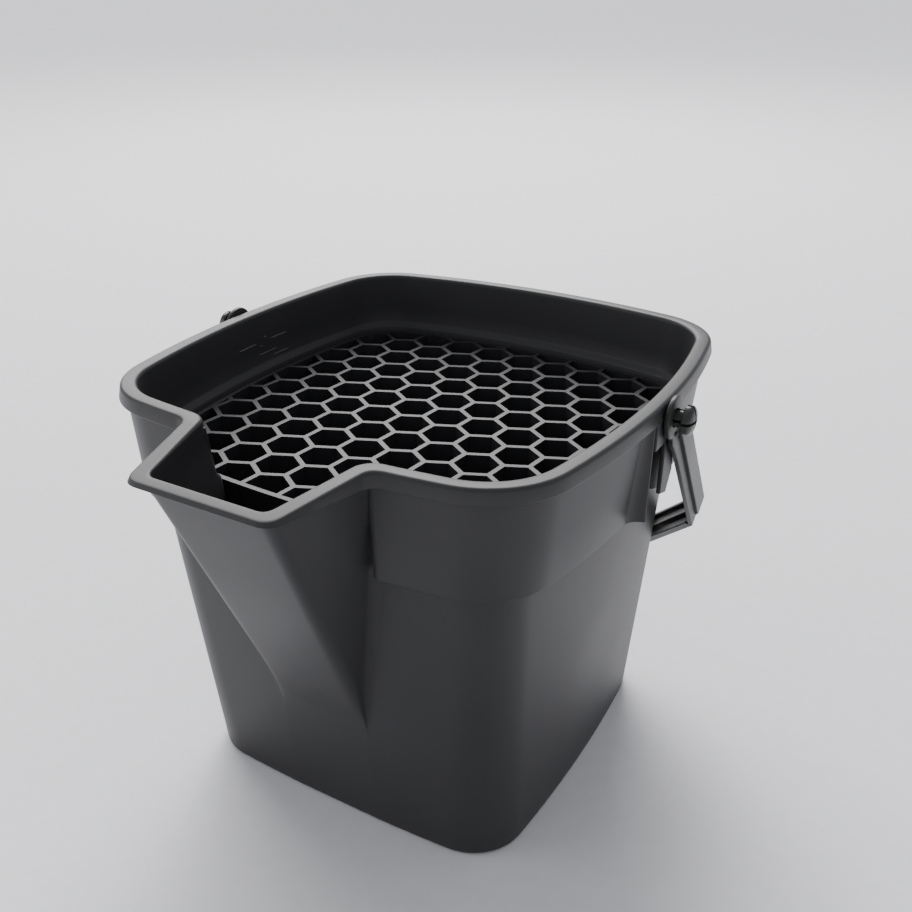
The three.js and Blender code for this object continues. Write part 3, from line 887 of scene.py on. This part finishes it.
def plastic(name, color, roughness, grain=0.12):
    """Moulded plastic: fine grain as bump, with soft changes of shade and gloss."""
    material, nodes, links = new_material(name)
    shader = nodes["Principled BSDF"]
    shader.inputs["Specular IOR Level"].default_value = PLASTIC_GLEAM
    clouds = noise(nodes, links, 14, 5)
    low = [c * (1 - SHADE_SPREAD) for c in color] + [1]
    high = [c * (1 + SHADE_SPREAD) for c in color] + [1]
    shade = shaded(nodes, links, clouds, low, high)
    shade.elements[0].position = 0.3
    shade.elements[1].position = 0.7
    gloss = nodes.new("ShaderNodeMapRange")
    gloss.inputs["To Min"].default_value = roughness - GLOSS_SPREAD
    gloss.inputs["To Max"].default_value = roughness + GLOSS_SPREAD
    links.new(clouds, gloss.inputs["Value"])
    links.new(gloss.outputs["Result"], shader.inputs["Roughness"])
    bump = nodes.new("ShaderNodeBump")
    bump.inputs["Strength"].default_value = grain
    bump.inputs["Distance"].default_value = GRAIN_HEIGHT
    links.new(noise(nodes, links, 1400, 3), bump.inputs["Height"])
    links.new(bump.outputs["Normal"], shader.inputs["Normal"])
    return material


def backdrop_paper():
    """Nearly white, matt and very faintly mottled."""
    material, nodes, links = new_material("backdrop_paper")
    nodes["Principled BSDF"].inputs["Roughness"].default_value = 0.9
    mottle = noise(nodes, links, 90, 6)
    shaded(nodes, links, mottle, (0.80, 0.80, 0.83, 1), (0.87, 0.87, 0.90, 1))
    return material


# ---- floor, lights and camera ---------------------------------------------------------------------

BACK_LIGHT = 3.6
BACK_LIGHT_SPREAD = 55
BACK_LIGHT_FROM = (-0.6, 0.62, 0.66)
FRONT_LIGHT = dict(at=(-2.0, -1.5, 1.0), target=(0, 0, 0.12), size=1.5, power=13)
POOL_LIGHT = dict(at=(-1.1, 2.0, 2.6), target=(-1.1, 2.0, 0), size=1.6, power=80)
SKY_COLOR = (0.95, 0.96, 1, 1)
SKY_STRENGTH = 0.56

CAMERA_PLACE = (0.2944, -0.5003, 0.4722)
CAMERA_AZIMUTH = 32.04
CAMERA_ELEVATION = 26.09
CAMERA_ROLL = -0.34
CAMERA_SENSOR = 36
CAMERA_LENS = 40.62
CAMERA_SHIFT = (0.0557, 0.0105)

FLOOR_HALF = 20000


def build_floor():
    half = FLOOR_HALF
    corners = [(-half, -half, 0), (half, -half, 0), (half, half, 0), (-half, half, 0)]
    floor = add_mesh("floor", corners, [(0, 1, 2, 3)])
    floor.data.materials.append(backdrop_paper())


def area_light(name, at, target, size, power):
    data = bpy.data.lights.new(name, "AREA")
    data.shape = "DISK"
    data.size = size
    data.energy = power
    light = bpy.data.objects.new(name, data)
    light.location = at
    light.rotation_euler = (Vector(target) - Vector(at)).to_track_quat("-Z", "Y").to_euler()
    bpy.context.scene.collection.objects.link(light)


def build_lights():
    """A broad soft light behind for the gleam of level faces, one on the spout, one on the floor."""
    data = bpy.data.lights.new("back", "SUN")
    data.energy = BACK_LIGHT
    data.angle = math.radians(BACK_LIGHT_SPREAD)
    back = bpy.data.objects.new("back", data)
    back.rotation_euler = Vector(BACK_LIGHT_FROM).to_track_quat("Z", "Y").to_euler()
    bpy.context.scene.collection.objects.link(back)
    area_light("left_front", **FRONT_LIGHT)
    area_light("pool", **POOL_LIGHT)
    world = bpy.data.worlds.new("studio")
    world.use_nodes = True
    background = world.node_tree.nodes["Background"]
    background.inputs["Color"].default_value = SKY_COLOR
    background.inputs["Strength"].default_value = SKY_STRENGTH
    bpy.context.scene.world = world


def build_camera():
    data = bpy.data.cameras.new("camera")
    data.sensor_width = CAMERA_SENSOR
    data.lens = CAMERA_LENS
    data.shift_x, data.shift_y = CAMERA_SHIFT
    camera = bpy.data.objects.new("camera", data)
    turn = Matrix.Rotation(math.radians(CAMERA_AZIMUTH), 4, "Z")
    tilt = Matrix.Rotation(math.radians(90 - CAMERA_ELEVATION), 4, "X")
    roll = Matrix.Rotation(math.radians(CAMERA_ROLL), 4, "Z")
    camera.matrix_world = Matrix.Translation(CAMERA_PLACE) @ turn @ tilt @ roll
    bpy.context.scene.collection.objects.link(camera)
    bpy.context.scene.camera = camera


bucket_plastic = plastic("bucket_plastic", (0.034, 0.034, 0.036), 0.42)
bail_plastic = plastic("bail_plastic", (0.026, 0.027, 0.025), 0.40)
# The marks are the bucket's own plastic; this lighter colour is a painted highlight for the light that
# their raised edges catch.
mark_painted_highlight = plastic("mark_painted_highlight", (0.15, 0.15, 0.155), 0.4)
guard_plastic = plastic("guard_plastic", (0.026, 0.026, 0.029), 0.40)
pin_plastic = plastic("pin_plastic", (0.035, 0.037, 0.034), 0.25, 0.05)

build_bucket(bucket_plastic, mark_painted_highlight)
build_guard(guard_plastic)
build_bail(bail_plastic)
build_pins(pin_plastic)
build_floor()
build_lights()
build_camera()
